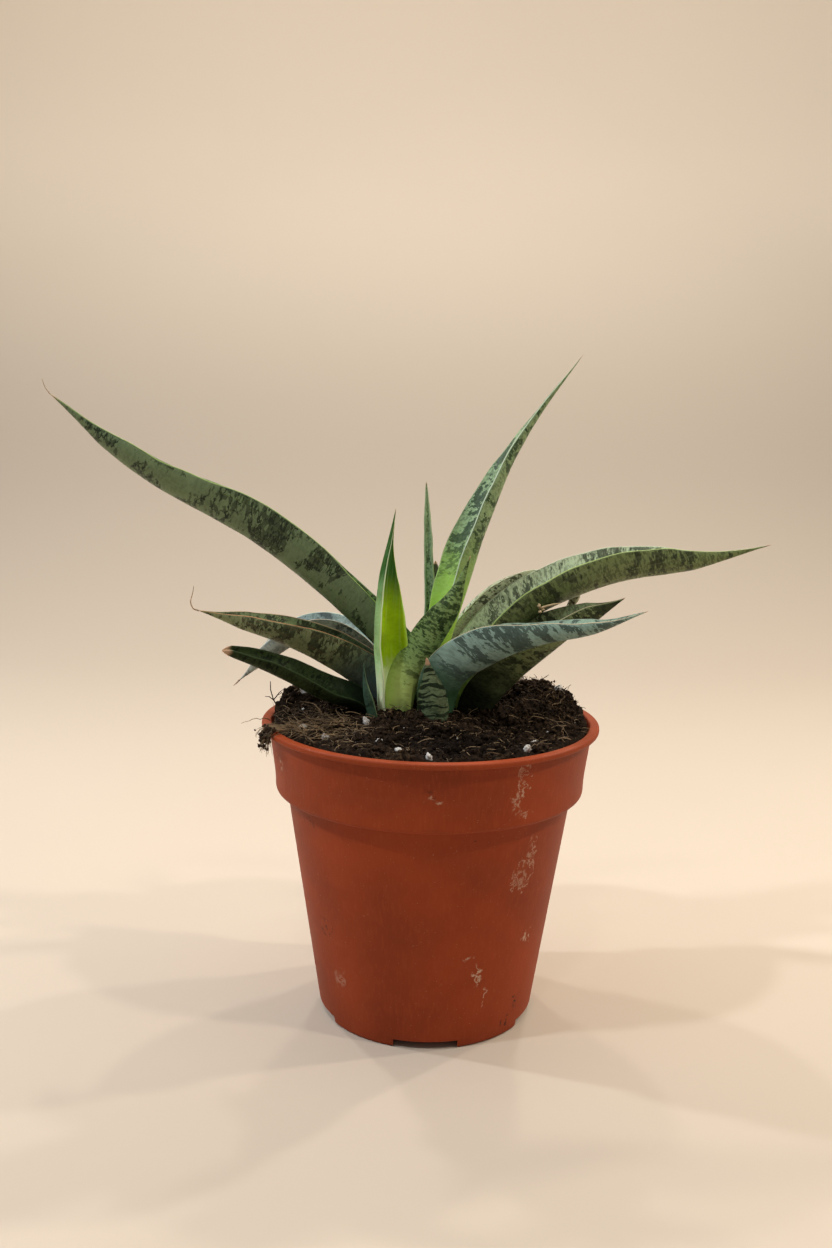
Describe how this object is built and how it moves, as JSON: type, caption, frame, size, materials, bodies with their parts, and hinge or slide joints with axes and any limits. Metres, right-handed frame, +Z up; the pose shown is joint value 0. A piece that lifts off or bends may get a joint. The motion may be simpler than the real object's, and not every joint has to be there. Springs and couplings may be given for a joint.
{
  "type": "potted snake plant",
  "caption": "Small snake plant with thick channelled banded leaves, growing in peat with perlite in a round terracotta-coloured plastic nursery pot.",
  "frame": {"origin": "on the pot's axis, at the surface that the pot stands on", "axes": "+Z up; +X to the right, along the plant's longest spread; the side seen in the picture faces -Y"},
  "size_m": [0.2529, 0.12, 0.2364],
  "materials": {
    "pot_plastic": "matte moulded plastic, terracotta red, lightly scuffed",
    "peat": "matte, rough and crumbly, with fibres",
    "rhizome": "matte, slightly waxy",
    "leaf_green": "satin waxy leaf, mottled and banded, with light margins",
    "leaf_dark": "satin waxy leaf, dark and mottled",
    "leaf_blue": "satin waxy leaf with a pale bloom and dark bands",
    "leaf_young": "satin young leaf, bright lime with a pale base",
    "perlite": "matte, rough white mineral foam"
  },
  "bodies": {
    "root": {"pot": "pot_plastic", "soil": "peat", "rhizome": "rhizome", "leaf_front_stub": "leaf_green", "leaf_centre_curved": "leaf_green", "leaf_young_bright": "leaf_young", "leaf_pup_front": "leaf_green", "leaf_pup_back": "leaf_green", "leaf_left_low": "leaf_dark", "leaf_front_right": "leaf_blue", "leaf_low_right": "leaf_dark", "leaf_left_channelled": "leaf_green", "leaf_long_left": "leaf_green", "leaf_arching_right": "leaf_green", "leaf_tall_right": "leaf_green", "leaf_behind_right": "leaf_green", "leaf_left_drooping": "leaf_blue", "leaf_back_narrow": "leaf_green", "leaf_back_short": "leaf_green", "perlite_01": "perlite", "perlite_02": "perlite", "perlite_03": "perlite", "perlite_04": "perlite", "perlite_05": "perlite", "perlite_06": "perlite", "perlite_07": "perlite", "perlite_08": "perlite", "perlite_09": "perlite", "perlite_10": "perlite", "perlite_11": "perlite", "perlite_12": "perlite"}
  },
  "joints": []
}
